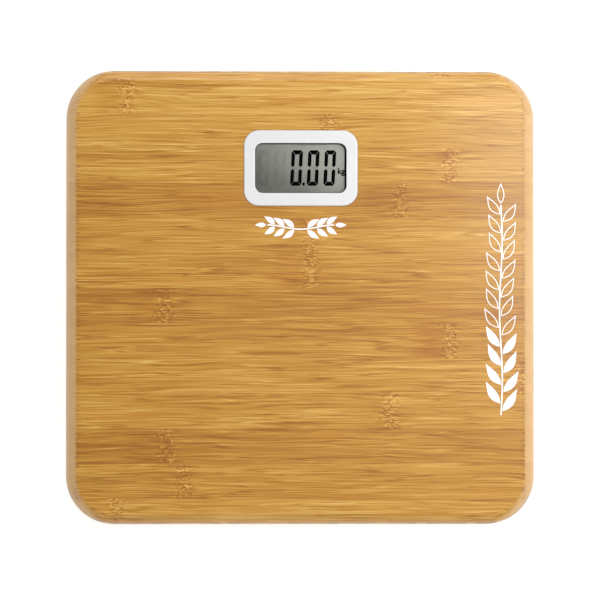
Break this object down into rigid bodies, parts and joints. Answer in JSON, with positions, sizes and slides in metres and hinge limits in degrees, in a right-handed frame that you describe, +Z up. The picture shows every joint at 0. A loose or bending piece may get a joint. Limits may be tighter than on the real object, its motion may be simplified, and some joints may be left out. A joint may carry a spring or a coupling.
{
  "type": "digital bathroom scale",
  "caption": "Square bamboo platform scale with rounded corners, a display window near one edge and sprung load-cell feet at its corners.",
  "frame": {"origin": "on the floor, under the middle of the platform", "axes": "+Z up; +Y towards the display, at the toe side; +X to the right of a person who stands on it facing the display"},
  "size_m": [0.31, 0.3, 0.0258],
  "materials": {
    "bamboo": "satin clear lacquer over laminated bamboo",
    "white_plastic": "semi-gloss moulded ABS",
    "underside_plastic": "fine spark-eroded texture, moulded ABS",
    "clear_window": "polished clear acrylic",
    "black_plastic": "matte black moulded ABS",
    "display_glass": "polarised display glass",
    "reflector_film": "matte silvered polarising film",
    "silicone": "striped conductive silicone",
    "foam": "soft closed-cell foam",
    "circuit_board": "solder-masked glass-epoxy laminate",
    "epoxy": "cured black epoxy",
    "ceramic_chip": "fired ceramic with tinned ends",
    "bright_metal": "bright nickel plate",
    "grey_plastic": "matte grey moulded ABS",
    "screw_steel": "zinc-plated steel",
    "load_cell_steel": "stamped and nickel-plated alloy steel",
    "gauge_resin": "white silicone coating",
    "battery_jacket": "printed foil jacket with a copper-coloured end",
    "red_insulation": "PVC wire insulation",
    "black_insulation": "PVC wire insulation",
    "lead_insulation": "PVC wire insulation",
    "pad_rubber": "matte soft rubber"
  },
  "bodies": {
    "platform": {"platform_board": "bamboo", "display_bezel": "white_plastic", "display_lens": "clear_window", "lcd_carrier": "black_plastic", "lcd_front_glass": "display_glass", "lcd_rear_glass": "display_glass", "lcd_reflector": "reflector_film", "zebra_connector": "silicone", "lcd_support_foam": "foam", "main_pcb": "circuit_board", "controller_glob_top": "epoxy", "chip_capacitors": "ceramic_chip", "chip_resistors": "ceramic_chip", "clock_crystal": "bright_metal", "switch_body": "black_plastic", "pcb_screws": "screw_steel", "rear_cover": "underside_plastic", "rear_cover_screws": "screw_steel", "battery_heel_side": "battery_jacket", "battery_toe_side": "battery_jacket", "battery_bridge_contact": "bright_metal", "battery_positive_contact": "bright_metal", "battery_negative_contact": "bright_metal", "battery_bridge_spring": "bright_metal", "battery_negative_spring": "bright_metal", "battery_lead_red": "red_insulation", "battery_lead_black": "black_insulation", "sensor_housing_toe_left": "underside_plastic", "load_cell_toe_left": "load_cell_steel", "sensor_leads_toe_left": "lead_insulation", "channel_strip_toe_left": "underside_plastic", "sensor_housing_toe_right": "underside_plastic", "load_cell_toe_right": "load_cell_steel", "sensor_leads_toe_right": "lead_insulation", "channel_strip_toe_right": "underside_plastic", "sensor_housing_heel_left": "underside_plastic", "load_cell_heel_left": "load_cell_steel", "sensor_leads_heel_left": "lead_insulation", "channel_strip_heel_left": "underside_plastic", "sensor_housing_heel_right": "underside_plastic", "load_cell_heel_right": "load_cell_steel", "sensor_leads_heel_right": "lead_insulation", "channel_strip_heel_right": "underside_plastic", "strain_gauges": "gauge_resin", "housing_screws": "screw_steel"},
    "foot_toe_left": {"foot_carrier_toe_left": "underside_plastic", "foot_pad_toe_left": "pad_rubber"},
    "foot_toe_right": {"foot_carrier_toe_right": "underside_plastic", "foot_pad_toe_right": "pad_rubber"},
    "foot_heel_left": {"foot_carrier_heel_left": "underside_plastic", "foot_pad_heel_left": "pad_rubber"},
    "foot_heel_right": {"foot_carrier_heel_right": "underside_plastic", "foot_pad_heel_right": "pad_rubber"},
    "battery_door": {"battery_door": "underside_plastic"},
    "unit_button": {"unit_button": "grey_plastic", "switch_plunger": "grey_plastic"}
  },
  "joints": [
    {"name": "foot_toe_left_travel", "type": "slide", "parent": "platform", "child": "foot_toe_left", "axis": [0, 0, 1], "range_m": [0, 0.0005], "stiffness_N_per_m": 1900, "springref_m": -0.0017, "deforming": ["load_cell_toe_left"]},
    {"name": "foot_toe_right_travel", "type": "slide", "parent": "platform", "child": "foot_toe_right", "axis": [0, 0, 1], "range_m": [0, 0.0005], "stiffness_N_per_m": 1900, "springref_m": -0.0017, "deforming": ["load_cell_toe_right"]},
    {"name": "foot_heel_left_travel", "type": "slide", "parent": "platform", "child": "foot_heel_left", "axis": [0, 0, 1], "range_m": [0, 0.0005], "stiffness_N_per_m": 1900, "springref_m": -0.0017, "deforming": ["load_cell_heel_left"]},
    {"name": "foot_heel_right_travel", "type": "slide", "parent": "platform", "child": "foot_heel_right", "axis": [0, 0, 1], "range_m": [0, 0.0005], "stiffness_N_per_m": 1900, "springref_m": -0.0017, "deforming": ["load_cell_heel_right"]},
    {"name": "battery_door_slide", "type": "slide", "parent": "platform", "child": "battery_door", "axis": [0, -1, 0], "range_m": [0, 0.034]},
    {"name": "unit_button_press", "type": "slide", "parent": "platform", "child": "unit_button", "axis": [0, 0, 1], "range_m": [0, 0.0005], "stiffness_N_per_m": 4000}
  ]
}
